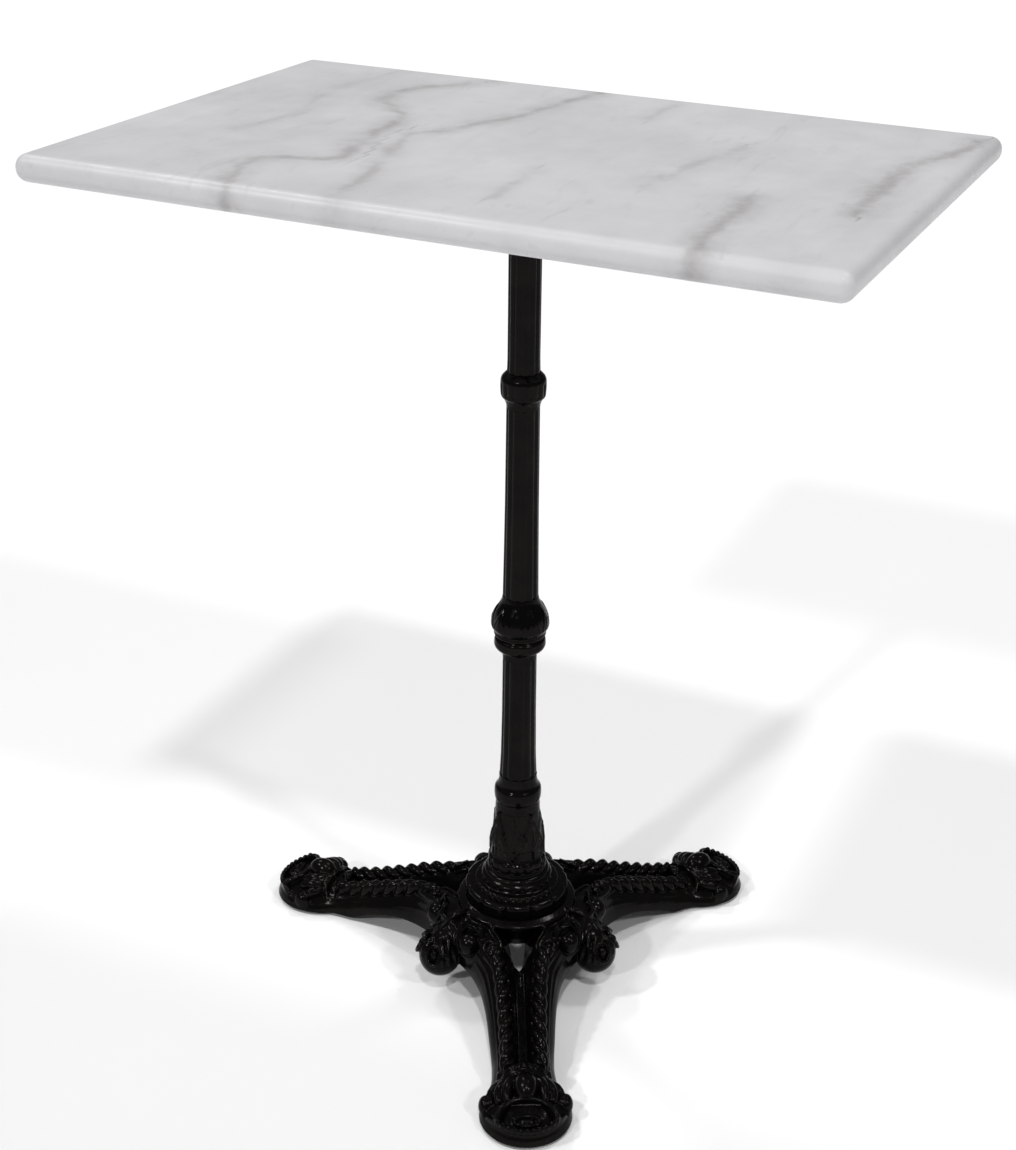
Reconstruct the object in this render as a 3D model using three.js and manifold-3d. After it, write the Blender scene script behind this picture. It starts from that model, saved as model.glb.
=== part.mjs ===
// Bistro table: a small rectangular marble top on a turned iron column, carried by a
// three-legged cast base. Millimetres, +Z up, floor at z = 0, column on the Z axis,
// long side of the top along X.
import * as THREE from 'three';
import { mergeVertices } from 'three/addons/utils/BufferGeometryUtils.js';
import Module from 'manifold-3d';

const wasm = await Module();
wasm.setup();

// ---- sizes shared by several pieces -------------------------------------------------
const GAP = 0.3;
const TABLE_HEIGHT = 720;

const TOP_LENGTH = 600;
const TOP_WIDTH = 400;
const TOP_THICKNESS = 20;
const TOP_CORNER_RADIUS = 14;
const TOP_EDGE_RADIUS = 9.5;
const TOP_UNDERSIDE = TABLE_HEIGHT - TOP_THICKNESS;

const ROD_RADIUS = 6;
const COLUMN_BORE = 6.6;
const SPIGOT_RADIUS = 9;
const SPIGOT_LENGTH = 6;
const COLUMN_SIDES = 24;

// The base is turned by this angle against the top, as the column nut leaves it.
const BASE_TURN = -2.4;
const LEG_ANGLES = [-60, 60, 180].map((angle) => angle + BASE_TURN);
const LEG_NAMES = ['front', 'right', 'left'];

const HUB_TOP = 72;
const HUB_BOTTOM = 34;
const FOOT_CENTRE = 207;
const FOOT_RADIUS = 34.5;
const FOOT_UNDERSIDE = 3.5;
const GLIDE_CENTRE = 222;

// Fixing points of the bracket under the top: one in each quarter.
const FIXING_X = 165;
const FIXING_Y = 105;
const FIXINGS = [[1, 1], [-1, 1], [-1, -1], [1, -1]].map(([sx, sy]) => [sx * FIXING_X, sy * FIXING_Y]);
const FIXING_NAMES = ['right_back', 'left_back', 'left_front', 'right_front'];

// ---- solids -------------------------------------------------------------------------

// A closed three.js geometry as a solid, faces turned outwards.
function solid(geometry) {
  const bare = new THREE.BufferGeometry();
  bare.setAttribute('position', geometry.getAttribute('position').clone());
  if (geometry.index) bare.setIndex(geometry.index.clone());
  const merged = mergeVertices(bare, 1e-4);
  const points = merged.getAttribute('position');
  const corners = merged.index.array;
  const a = new THREE.Vector3();
  const b = new THREE.Vector3();
  const c = new THREE.Vector3();
  const triangles = [];
  let volume = 0;
  for (let i = 0; i < corners.length; i += 3) {
    const [p, q, r] = [corners[i], corners[i + 1], corners[i + 2]];
    if (p === q || q === r || r === p) continue;
    triangles.push([p, q, r]);
    volume += a.fromBufferAttribute(points, p).dot(b.fromBufferAttribute(points, q)
      .cross(c.fromBufferAttribute(points, r)));
  }
  const outward = volume > 0 ? triangles : triangles.map(([p, q, r]) => [p, r, q]);
  return new wasm.Manifold(new wasm.Mesh({
    numProp: 3,
    vertProperties: new Float32Array(points.array),
    triVerts: new Uint32Array(outward.flat()),
  }));
}

function join(solids) {
  return solids.reduce((whole, next) => whole.add(next));
}

// A body skinned over rings of points; every ring has the same number of points.
function lofted(rings) {
  const count = rings[0].length;
  const points = rings.flat().flatMap((point) => point.toArray());
  const corners = [];
  for (let row = 0; row + 1 < rings.length; row += 1) {
    for (let i = 0; i < count; i += 1) {
      const next = (i + 1) % count;
      const [p, q] = [row * count + i, row * count + next];
      corners.push(p, q, q + count, p, q + count, p + count);
    }
  }
  const last = (rings.length - 1) * count;
  for (let i = 1; i + 1 < count; i += 1) {
    corners.push(0, i + 1, i);
    corners.push(last, last + i, last + i + 1);
  }
  const geometry = new THREE.BufferGeometry();
  geometry.setAttribute('position', new THREE.Float32BufferAttribute(points, 3));
  geometry.setIndex(corners);
  return geometry;
}

// A ring-shaped body turned about the Z axis; the profile is a list of [radius, height].
function turned(profile, sides = COLUMN_SIDES) {
  const outline = [...profile, profile[0]].map(([radius, height]) => new THREE.Vector2(radius, height));
  return new THREE.LatheGeometry(outline, sides).rotateX(Math.PI / 2);
}

// A cylinder standing on height `bottom`, at x, y.
function upright(radius, bottom, top, x = 0, y = 0, sides = 18) {
  return new THREE.CylinderGeometry(radius, radius, top - bottom, sides)
    .rotateX(Math.PI / 2)
    .translate(x, y, (bottom + top) / 2);
}

// A flat outline in X and Y, given as corner points, raised from `bottom` to `top`.
function raised(points, bottom, top) {
  const shape = new THREE.Shape(points.map(([x, y]) => new THREE.Vector2(x, y)));
  const depth = top - bottom;
  return new THREE.ExtrudeGeometry(shape, { depth, bevelEnabled: false }).translate(0, 0, bottom);
}

// A side view in X and Z, given as corner points, spread over -halfWidth..halfWidth in Y.
function sideCut(points, halfWidth) {
  const shape = new THREE.Shape(points.map(([x, z]) => new THREE.Vector2(x, z)));
  return new THREE.ExtrudeGeometry(shape, { depth: 2 * halfWidth, bevelEnabled: false })
    .rotateX(Math.PI / 2)
    .translate(0, halfWidth, 0);
}

// A smooth line through [x, y] points, sampled at even steps.
function smooth(points, steps) {
  return new THREE.SplineCurve(points.map(([x, y]) => new THREE.Vector2(x, y)))
    .getPoints(steps)
    .map((point) => [point.x, point.y]);
}

// An egg-shaped body with half-axes rx, ry, rz about a centre.
function egg([rx, ry, rz], [x, y, z], sides = 14) {
  return new THREE.SphereGeometry(1, sides, Math.ceil(sides / 2))
    .rotateX(Math.PI / 2)
    .scale(rx, ry, rz)
    .translate(x, y, z);
}

function aboutZ(geometry, degrees) {
  return geometry.rotateZ(THREE.MathUtils.degToRad(degrees));
}

// ---- finished pieces ----------------------------------------------------------------
const table = new THREE.Group();
table.name = 'bistro_table';

const FINISH = {
  marble: { color: 0xd6d7d9, roughness: 0.22, metalness: 0 },
  enamel: { color: 0x16161a, roughness: 0.24, metalness: 0.2 },
  steel: { color: 0x9b9ea3, roughness: 0.35, metalness: 0.95 },
  brass: { color: 0xb08d4a, roughness: 0.35, metalness: 0.95 },
  rubber: { color: 0x202022, roughness: 0.9, metalness: 0 },
  nylon: { color: 0xdedbd2, roughness: 0.6, metalness: 0 },
};

function addPiece(name, body, finish) {
  const mesh = body.getMesh();
  const geometry = new THREE.BufferGeometry();
  const points = new Float32Array(mesh.vertProperties);
  geometry.setAttribute('position', new THREE.BufferAttribute(points, 3));
  geometry.setIndex(new THREE.BufferAttribute(new Uint32Array(mesh.triVerts), 1));
  geometry.computeVertexNormals();
  const piece = new THREE.Mesh(geometry, new THREE.MeshStandardMaterial(FINISH[finish]));
  piece.name = name;
  table.add(piece);
}

// ---- marble top ---------------------------------------------------------------------
function marbleTop() {
  const x = TOP_LENGTH / 2;
  const y = TOP_WIDTH / 2;
  const r = TOP_CORNER_RADIUS;
  const shape = new THREE.Shape();
  shape.moveTo(x, y - r);
  shape.absarc(x - r, y - r, r, 0, Math.PI / 2);
  shape.absarc(-x + r, y - r, r, Math.PI / 2, Math.PI);
  shape.absarc(-x + r, -y + r, r, Math.PI, 1.5 * Math.PI);
  shape.absarc(x - r, -y + r, r, 1.5 * Math.PI, 2 * Math.PI);
  const slab = solid(new THREE.ExtrudeGeometry(shape, {
    depth: TOP_THICKNESS - 2 * TOP_EDGE_RADIUS,
    bevelThickness: TOP_EDGE_RADIUS,
    bevelSize: TOP_EDGE_RADIUS,
    bevelOffset: -TOP_EDGE_RADIUS,
    bevelSegments: 4,
    curveSegments: 3,
  }).translate(0, 0, TOP_UNDERSIDE + TOP_EDGE_RADIUS));
  const holes = FIXINGS.map(([fx, fy]) => (
    solid(upright(5.4, TOP_UNDERSIDE - 1, TOP_UNDERSIDE + 13, fx, fy, 12))
  ));
  return slab.subtract(join(holes));
}

// ---- bracket and fixings under the top ----------------------------------------------
const BUFFER_THICKNESS = 2;
const BRACKET_TOP = TOP_UNDERSIDE - BUFFER_THICKNESS - 2 * GAP;
const BRACKET_PLATE = 6;
const BRACKET_HUB_BOTTOM = 668;
const BRACKET_HUB_RADIUS = 30;
const ROD_NUT_POCKET = 681;

// One arm of the bracket: a tapering bar with a rounded tip and a deep rib below.
function bracketArm(x, y) {
  const reach = Math.hypot(x, y);
  const turn = THREE.MathUtils.radToDeg(Math.atan2(y, x));
  const shape = new THREE.Shape();
  shape.moveTo(0, -16);
  shape.absarc(reach, 0, 11, -Math.PI / 2, Math.PI / 2);
  shape.lineTo(0, 16);
  const bar = new THREE.ExtrudeGeometry(shape, {
    depth: BRACKET_PLATE,
    bevelEnabled: false,
    curveSegments: 4,
  }).translate(0, 0, BRACKET_TOP - BRACKET_PLATE);
  const under = BRACKET_TOP - BRACKET_PLATE + 1;
  const rib = sideCut([[20, under], [20, 676], [reach - 22, under - 3], [reach - 16, under]], 3);
  return solid(aboutZ(bar, turn)).add(solid(aboutZ(rib, turn)));
}

function topBracket() {
  const hub = solid(turned([
    [COLUMN_BORE, BRACKET_HUB_BOTTOM + GAP],
    [19, BRACKET_HUB_BOTTOM + GAP],
    [22, 671],
    [24, 680],
    [BRACKET_HUB_RADIUS, 688],
    [BRACKET_HUB_RADIUS, BRACKET_TOP],
    [COLUMN_BORE, BRACKET_TOP],
  ]));
  const arms = FIXINGS.map(([x, y]) => bracketArm(x, y));
  const screwHoles = FIXINGS.map(([x, y]) => solid(upright(3.5, 680, 710, x, y, 12)));
  const rodHole = solid(upright(COLUMN_BORE, 660, 710));
  const nutPocket = solid(upright(14, ROD_NUT_POCKET, 710));
  const socket = solid(upright(SPIGOT_RADIUS + GAP, 660, BRACKET_HUB_BOTTOM + SPIGOT_LENGTH + 2 * GAP));
  return join([hub, ...arms]).subtract(join([rodHole, nutPocket, socket, ...screwHoles]));
}

function topScrew(x, y) {
  const headTop = BRACKET_TOP - BRACKET_PLATE - GAP;
  const shank = solid(upright(3, headTop - 1, TOP_UNDERSIDE + 10, x, y, 12));
  const head = solid(upright(6, headTop - 3.5, headTop, x, y, 16));
  const socket = solid(upright(2.3, headTop - 4, headTop - 1.5, x, y, 6));
  return shank.add(head).subtract(socket);
}

function threadedInsert(x, y) {
  const sleeve = solid(upright(5.1, TOP_UNDERSIDE, TOP_UNDERSIDE + 12.5, x, y, 12));
  return sleeve.subtract(solid(upright(3.3, TOP_UNDERSIDE - 1, TOP_UNDERSIDE + 11, x, y, 12)));
}

function rubberBuffer(x, y) {
  const bottom = BRACKET_TOP + GAP;
  const disc = solid(upright(10, bottom, bottom + BUFFER_THICKNESS, x, y, 16));
  return disc.subtract(solid(upright(3.6, bottom - 1, bottom + BUFFER_THICKNESS + 1, x, y, 12)));
}

// ---- column -------------------------------------------------------------------------

// A turned collar between two heights, bored for the rod, with a spigot socket where asked.
function collar(outer, { lowerSocket = false, upperSocket = false } = {}) {
  const bottom = outer[0][1];
  const top = outer[outer.length - 1][1];
  const socketRadius = SPIGOT_RADIUS + GAP;
  const depth = SPIGOT_LENGTH + GAP;
  const upper = upperSocket
    ? [[socketRadius, top], [socketRadius, top - depth], [COLUMN_BORE, top - depth]]
    : [[COLUMN_BORE, top]];
  const lower = lowerSocket
    ? [[COLUMN_BORE, bottom + depth], [socketRadius, bottom + depth], [socketRadius, bottom]]
    : [[COLUMN_BORE, bottom]];
  return solid(turned([...outer, ...upper, ...lower]));
}

const FLUTES = 12;
const FLUTE_DEPTH = 0.7;
const FLUTE_SIDES = FLUTES * 3;

// A fluted shaft; the profile lists [radius, height] from bottom to top, a spigot at each end.
function flutedShaft(profile) {
  const ring = (radius, height, depth) => Array.from({ length: FLUTE_SIDES }, (_, i) => {
    const angle = (2 * Math.PI * i) / FLUTE_SIDES;
    const r = radius - depth * (0.5 - 0.5 * Math.cos(FLUTES * angle));
    return new THREE.Vector3(r * Math.cos(angle), r * Math.sin(angle), height);
  });
  const bottom = profile[0][1];
  const top = profile[profile.length - 1][1];
  const body = solid(lofted(profile.map(([radius, height]) => ring(radius, height, FLUTE_DEPTH))));
  const spigots = solid(upright(SPIGOT_RADIUS, bottom - SPIGOT_LENGTH, top + SPIGOT_LENGTH));
  return body.add(spigots).subtract(solid(upright(COLUMN_BORE, bottom - 10, top + 10)));
}

const HUB_FLANGE_TOP = 100;
const PEDESTAL_TOP = 160;
const LOWER_RING_TOP = 193;
const LOWER_SHAFT_TOP = 304;
const KNOP_TOP = 360;
const MIDDLE_SHAFT_TOP = 520;
const UPPER_COLLAR_TOP = 549;

function hubFlange() {
  return collar([
    [44, HUB_TOP + GAP],
    [44, 83.5],
    [42.5, 85],
    [29.8, 86],
    [29.5, 94],
    [25.5, HUB_FLANGE_TOP],
  ]);
}

function leafPedestal() {
  return collar([
    [25.3, HUB_FLANGE_TOP + GAP],
    [25.3, 103],
    [24.2, 104.5],
    [24.8, 109],
    [22.4, 115],
    [23.1, 118],
    [22.7, 124],
    [23.1, 130],
    [21.6, 141],
    [19.1, PEDESTAL_TOP],
  ]);
}

function lowerRing() {
  return collar([
    [18.6, PEDESTAL_TOP + GAP],
    [18.7, 168],
    [19.5, 171],
    [19.5, 180],
    [17.7, 186],
    [15.8, LOWER_RING_TOP],
  ], { upperSocket: true });
}

function ballKnop() {
  return collar([
    [14, LOWER_SHAFT_TOP + GAP],
    [15.5, 310],
    [20.7, 315.4],
    [21.1, 318],
    [21.1, 323.7],
    [20.3, 325],
    [23.1, 329],
    [24.2, 335],
    [23.4, 341],
    [20.5, 348],
    [15.6, 356],
    [14.5, KNOP_TOP],
  ], { lowerSocket: true, upperSocket: true });
}

function upperCollar() {
  return collar([
    [13, MIDDLE_SHAFT_TOP + GAP],
    [15.2, 527.7],
    [17.3, 530.5],
    [17.85, 535],
    [17.85, 542],
    [15.1, 547],
    [13, UPPER_COLLAR_TOP],
  ], { lowerSocket: true, upperSocket: true });
}

function lowerShaft() {
  return flutedShaft([[15.6, LOWER_RING_TOP + GAP], [14.7, 213], [14.1, 255], [13.9, LOWER_SHAFT_TOP]]);
}

function middleShaft() {
  return flutedShaft([[14.4, KNOP_TOP + GAP], [13.9, 395], [13.4, 440], [13, MIDDLE_SHAFT_TOP]]);
}

function upperShaft() {
  return flutedShaft([[12.8, UPPER_COLLAR_TOP + GAP], [12.5, 560], [12.5, BRACKET_HUB_BOTTOM]]);
}

// ---- rod, washers and nuts that clamp the column together ---------------------------
const LOWER_NUT_SEAT = 48;
const WASHER_THICKNESS = 2.5;
const NUT_HEIGHT = 10;

function washer(bottom) {
  const disc = solid(upright(12, bottom, bottom + WASHER_THICKNESS));
  return disc.subtract(solid(upright(ROD_RADIUS + GAP, bottom - 1, bottom + WASHER_THICKNESS + 1)));
}

function nut(bottom) {
  const body = solid(upright(10.9, bottom, bottom + NUT_HEIGHT, 0, 0, 6));
  return body.subtract(solid(upright(ROD_RADIUS + GAP, bottom - 1, bottom + NUT_HEIGHT + 1)));
}

// ---- three-legged base casting ------------------------------------------------------
// Each leg is drawn lying along +X and then turned to its own angle.

// Half the outline of a leg seen from above: flaring into the bosses, waisted, round foot.
const LEG_FLANK = [
  [30, 60], [50, 49.5], [64, 42], [82, 35], [103, 30.5], [130, 27.5], [160, 25.7], [181, 26],
];

function legOutline() {
  const flank = smooth(LEG_FLANK, 8);
  const tipStart = THREE.MathUtils.degToRad(137);
  const steps = 12;
  const tip = Array.from({ length: steps + 1 }, (_, i) => {
    const angle = tipStart - (2 * tipStart * i) / steps;
    return [FOOT_CENTRE + FOOT_RADIUS * Math.cos(angle), FOOT_RADIUS * Math.sin(angle)];
  });
  const mirrored = flank.map(([x, y]) => [x, -y]).reverse();
  return [...flank, ...tip, ...mirrored];
}

// A leg seen from the side: the upper and lower edges of its walls.
const LEG_UPPER = [
  [24, 66], [62, 63], [86, 56], [121, 42.5], [160, 27.5], [176, 24], [200, 20], [235, 15], [260, 15],
];
const LEG_LOWER = [[158, FOOT_UNDERSIDE], [138, 13], [119, 20.7], [102, 25.8], [80, 29], [24, 30]];

// The groove between the two rails at stations along the leg: distance from the column,
// height and half width of its floor, height and half width where its walls turn upright.
const GROOVE = [
  [58, 40, 4, 58, 14],
  [80, 38, 2.5, 54, 11],
  [102, 33, 2.5, 46, 8.8],
  [138, 20, 2.5, 34, 6.6],
  [165, 11, 2.5, 26, 6.4],
  [178, 11, 2.5, 24, 6.4],
];

// The opening beside the hub goes right through, and is wide above and narrow below.
const OPENING_BELOW = [[22, -8.5], [43, -6.5], [66, 0], [43, 6.5], [22, 8.5]];
const OPENING_ABOVE = [[36, -25], [62, -14.5], [67, 0], [62, 14.5], [36, 25]];
const OPENING_RINGS = [[0, OPENING_BELOW], [30, OPENING_BELOW], [62, OPENING_ABOVE], [90, OPENING_ABOVE]];

const ROPE_PATH = [
  [68, 20, 59], [82, 17.8, 56.5], [96, 16, 52], [121, 14, 41.7], [140, 13.2, 34], [160, 13, 27],
  [178, 13, 22.5],
];
const ROPE_RADIUS = 5.6;
const ROPE_LOBE = 1;
const ROPE_LOBES = 9;
const ROPE_LEAN = 0.5;
const ROPE_SIDES = 6;

// A rope moulding on top of a rail: thick and thin rings in turn, leaning like the strands
// of a rope; `side` is +1 or -1 and mirrors the lean.
function rope(side) {
  const path = new THREE.CatmullRomCurve3(ROPE_PATH.map(([x, y, z]) => new THREE.Vector3(x, side * y, z)));
  const rows = ROPE_LOBES * 2;
  const up = new THREE.Vector3(0, 0, 1);
  const rings = Array.from({ length: rows + 1 }, (_, row) => {
    const centre = path.getPointAt(row / rows);
    const along = path.getTangentAt(row / rows);
    const across = new THREE.Vector3().crossVectors(up, along).normalize();
    const over = new THREE.Vector3().crossVectors(along, across);
    const radius = row % 2 ? ROPE_RADIUS + ROPE_LOBE : ROPE_RADIUS - ROPE_LOBE;
    return Array.from({ length: ROPE_SIDES }, (_, i) => {
      const angle = (2 * Math.PI * i) / ROPE_SIDES;
      return centre.clone()
        .addScaledVector(across, radius * Math.cos(angle))
        .addScaledVector(over, radius * Math.sin(angle))
        .addScaledVector(along, side * ROPE_LEAN * radius * Math.cos(angle));
    });
  });
  return solid(lofted(rings));
}

// The lobes that fan out on each side of a foot's knuckle: radii and centre.
const TOES = [
  [[10, 4, 7], [200, 13.5, 22]],
  [[9, 4, 7], [202, 20.5, 19]],
  [[8, 4, 7], [205, 27, 15]],
];

// The shoe at the end of a leg: a dome with a knuckle, fanned lobes and a raised oval rim.
function footRelief() {
  const rim = new THREE.TorusGeometry(1, 0.12, 4, 16)
    .scale(14, 27, 14)
    .rotateY(THREE.MathUtils.degToRad(16))
    .translate(226, 0, 20);
  return join([
    solid(egg([FOOT_RADIUS - 2, FOOT_RADIUS - 3, 10], [FOOT_CENTRE, 0, 14], 14)),
    solid(rim),
    solid(egg([7, 11, 4], [229, 0, 19], 8)),
    solid(egg([12, 8, 10], [201, 0, 24], 10)),
    ...TOES.flatMap(([radii, [x, y, z]]) => (
      [-1, 1].map((side) => solid(egg(radii, [x, side * y, z], 8)))
    )),
    solid(egg([4, 22, 6], [186, 0, 23], 8)),
  ]);
}

function groove() {
  return solid(lofted(GROOVE.map(([x, floor, floorHalf, edge, edgeHalf]) => {
    const half = [[floorHalf, floor], [edgeHalf, edge], [edgeHalf, 90]];
    const mirrored = half.map(([y, z]) => [-y, z]).reverse();
    return [...half, ...mirrored].map(([y, z]) => new THREE.Vector3(x, y, z));
  })));
}

function opening() {
  return solid(lofted(OPENING_RINGS.map(([z, outline]) => (
    outline.map(([x, y]) => new THREE.Vector3(x, y, z))
  ))));
}

function leg(angle) {
  const plan = solid(aboutZ(raised(legOutline(), 0, 80), angle));
  const side = solid(aboutZ(sideCut([[260, FOOT_UNDERSIDE], ...LEG_LOWER, ...LEG_UPPER], 80), angle));
  const cuts = join([groove(), opening()]).rotate([0, 0, angle]);
  const relief = join([rope(1), rope(-1), footRelief()]).rotate([0, 0, angle]);
  return plan.intersect(side).subtract(cuts).add(relief);
}

// A hanging boss between two legs: a round bulb under a leaf that springs from the hub.
function boss(angle) {
  return join([
    solid(egg([19, 19, 20], [77, 0, 35], 14)),
    solid(egg([27, 21, 15], [62, 0, 54], 10)),
    solid(egg([30, 5, 9], [66, 0, 61], 6)),
    ...[-1, 1].flatMap((side) => [
      solid(egg([9, 5.5, 8], [57, side * 17, 60], 8)),
      solid(egg([5, 7, 8], [90, side * 9, 42], 8)),
    ]),
  ]).rotate([0, 0, angle]);
}

// Curled leaf ends where the rails of a leg meet the bosses.
function volutes(angle) {
  return join([-1, 1].flatMap((side) => [
    solid(egg([10, 7, 8], [72, side * 22, 57], 8)),
    solid(egg([8, 8, 9], [66, side * 34, 55], 8)),
  ])).rotate([0, 0, angle]);
}

function castHub() {
  return solid(turned([
    [COLUMN_BORE, HUB_BOTTOM],
    [28, HUB_BOTTOM],
    [33, 44],
    [38, 58],
    [51, 66],
    [51, 68.5],
    [44.5, HUB_TOP],
    [COLUMN_BORE, HUB_TOP],
  ]));
}

function tripodBase() {
  const solids = [castHub()];
  LEG_ANGLES.forEach((angle) => solids.push(leg(angle), boss(angle + 60), volutes(angle)));
  const rodHole = solid(upright(COLUMN_BORE, 20, 90));
  const nutPocket = solid(upright(14, 20, LOWER_NUT_SEAT));
  const glideHoles = LEG_ANGLES.map((angle) => (
    solid(aboutZ(upright(4.4, -1, 17.5, GLIDE_CENTRE, 0, 14), angle))
  ));
  const clear = solid(raised([[-260, -260], [260, -260], [260, 260], [-260, 260]], HUB_TOP, 100));
  return join(solids).subtract(join([rodHole, nutPocket, clear, ...glideHoles]));
}

// ---- levelling glides ---------------------------------------------------------------
function glidePad(angle) {
  const pad = turned([
    [0, 0], [15, 0], [16, 1], [16, 2.2], [15, 3.2], [7.4, 3.2], [7.4, 1.2], [0, 1.2],
  ], 20);
  return solid(aboutZ(pad.translate(GLIDE_CENTRE, 0, 0), angle));
}

function glideStud(angle) {
  const stud = turned([[0, 1.5], [7, 1.5], [7, 2.9], [4, 2.9], [4, 15], [3, 16], [0, 16]], 14);
  return solid(aboutZ(stud.translate(GLIDE_CENTRE, 0, 0), angle));
}

// ---- assembly -----------------------------------------------------------------------
addPiece('marble_top', marbleTop(), 'marble');
FIXINGS.forEach(([x, y], i) => {
  addPiece(`threaded_insert_${FIXING_NAMES[i]}`, threadedInsert(x, y), 'brass');
  addPiece(`rubber_buffer_${FIXING_NAMES[i]}`, rubberBuffer(x, y), 'rubber');
  addPiece(`top_screw_${FIXING_NAMES[i]}`, topScrew(x, y), 'steel');
});
addPiece('top_bracket', topBracket(), 'enamel');
addPiece('upper_shaft', upperShaft(), 'enamel');
addPiece('upper_collar', upperCollar(), 'enamel');
addPiece('middle_shaft', middleShaft(), 'enamel');
addPiece('ball_knop', ballKnop(), 'enamel');
addPiece('lower_shaft', lowerShaft(), 'enamel');
addPiece('lower_ring', lowerRing(), 'enamel');
addPiece('leaf_pedestal', leafPedestal(), 'enamel');
addPiece('hub_flange', hubFlange(), 'enamel');
addPiece('tripod_base', tripodBase(), 'enamel');
addPiece('tie_rod', solid(upright(ROD_RADIUS, 36, 696)), 'steel');
addPiece('upper_washer', washer(ROD_NUT_POCKET + GAP), 'steel');
addPiece('upper_nut', nut(ROD_NUT_POCKET + WASHER_THICKNESS + 2 * GAP), 'steel');
addPiece('lower_washer', washer(LOWER_NUT_SEAT - GAP - WASHER_THICKNESS), 'steel');
addPiece('lower_nut', nut(LOWER_NUT_SEAT - WASHER_THICKNESS - NUT_HEIGHT - 2 * GAP), 'steel');
LEG_ANGLES.forEach((angle, i) => {
  addPiece(`glide_pad_${LEG_NAMES[i]}`, glidePad(angle), 'nylon');
  addPiece(`glide_stud_${LEG_NAMES[i]}`, glideStud(angle), 'steel');
});

export default table;
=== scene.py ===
import bpy
import numpy as np
from math import cos, pi, radians, sin
from mathutils import Matrix, Vector


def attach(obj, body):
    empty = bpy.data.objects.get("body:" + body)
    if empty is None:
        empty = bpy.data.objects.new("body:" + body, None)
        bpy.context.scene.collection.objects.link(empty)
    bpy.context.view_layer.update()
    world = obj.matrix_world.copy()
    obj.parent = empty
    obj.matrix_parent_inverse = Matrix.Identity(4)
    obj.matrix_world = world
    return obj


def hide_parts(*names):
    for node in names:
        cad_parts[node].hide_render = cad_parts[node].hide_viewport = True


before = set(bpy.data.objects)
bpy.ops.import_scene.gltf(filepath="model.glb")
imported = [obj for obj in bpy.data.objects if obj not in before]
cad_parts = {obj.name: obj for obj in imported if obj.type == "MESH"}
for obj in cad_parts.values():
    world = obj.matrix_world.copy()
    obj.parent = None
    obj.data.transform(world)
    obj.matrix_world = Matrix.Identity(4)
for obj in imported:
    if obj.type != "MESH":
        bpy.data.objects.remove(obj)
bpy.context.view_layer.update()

# Sizes are in millimetres and angles in degrees, unless a comment says otherwise.
MM = 0.001
SHARP_EDGE = 50
BASE_TURN = -2.4
LEG_ANGLES = tuple(angle + BASE_TURN for angle in (-60, 60, 180))
BOSS_ANGLES = tuple(angle + 60 for angle in LEG_ANGLES)
LEG_NAMES = ("front", "right", "left")
BASE_CELL = 0.8
BRACKET_CELL = 1.1

# The tie rod's bore runs through the base, the column and the bracket.
BORE = 6.6


# ---- meshes ----

def new_object(name, points_mm, faces):
    """A smooth-shaded mesh object; points in millimetres, faces as lists or one array."""
    mesh = bpy.data.meshes.new(name)
    points = np.asarray(points_mm, dtype=float) * MM
    mesh.from_pydata(points, [], faces.tolist() if isinstance(faces, np.ndarray) else faces)
    mesh.validate()
    mesh.shade_smooth()
    mesh.set_sharp_from_angle(angle=radians(SHARP_EDGE))
    piece = bpy.data.objects.new(name, mesh)
    bpy.context.scene.collection.objects.link(piece)
    return piece


def around_axis(radius, angle):
    """The x and y of a place by its distance and direction from the axis."""
    return radius * cos(radians(angle)), radius * sin(radians(angle))


def finish_piece(piece, node, slot, body="table"):
    """Lets a piece stand for a CAD node: with the material of its slot, riding on a body."""
    piece.data.materials.append(MATERIALS[slot])
    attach(piece, body)
    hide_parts(node)


def turned_piece(node, outline, sides, relief=None, slot="enamel", place=(0, 0), capped=False,
                 body="table", finish="fine"):
    """A piece turned about an upright axis, which stands for a CAD node; `finish` ends its name.
    The outline is a list of (radius, height) that closes on itself or, when capped, starts and
    ends on flat round faces. relief(angle, height, radius), with the angle in radians, is what
    the carved pattern adds to the radius."""
    outline = np.asarray(outline, dtype=float)
    angles = np.arange(sides) * 2 * pi / sides
    radius = np.repeat(outline[:, :1], sides, axis=1)
    height = np.repeat(outline[:, 1:], sides, axis=1)
    if relief is not None:
        radius = radius + relief(angles[None, :], height, radius)
    points = np.stack([
        place[0] + radius * np.cos(angles),
        place[1] + radius * np.sin(angles),
        height,
    ], axis=2).reshape(-1, 3)
    rows = len(outline)
    row, column = np.meshgrid(np.arange(rows - 1 if capped else rows), np.arange(sides), indexing="ij")
    next_row = (row + 1) % rows
    next_column = (column + 1) % sides
    faces = np.stack([
        row * sides + column,
        row * sides + next_column,
        next_row * sides + next_column,
        next_row * sides + column,
    ], axis=2).reshape(-1, 4).tolist()
    if capped:
        faces.append(list(range(sides))[::-1])
        faces.append(list(range((rows - 1) * sides, rows * sides)))
    finish_piece(new_object(f"{node}_{finish}", points, faces), node, slot, body)


def curve_through(knots, step):
    """Points about every `step` mm along a Catmull-Rom curve through knots."""
    knots = [np.asarray(knot, dtype=float) for knot in knots]
    padded = [2 * knots[0] - knots[1], *knots, 2 * knots[-1] - knots[-2]]
    points = []
    for a, b, c, d in zip(padded, padded[1:], padded[2:], padded[3:]):
        count = max(2, int(round(np.linalg.norm(c - b) / step)))
        for t in np.arange(count) / count:
            points.append(0.5 * (2 * b + (c - a) * t + (2 * a - 5 * b + 4 * c - d) * t ** 2
                                 + (3 * b - 3 * c + d - a) * t ** 3))
    points.append(knots[-1])
    return np.array(points)


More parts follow.
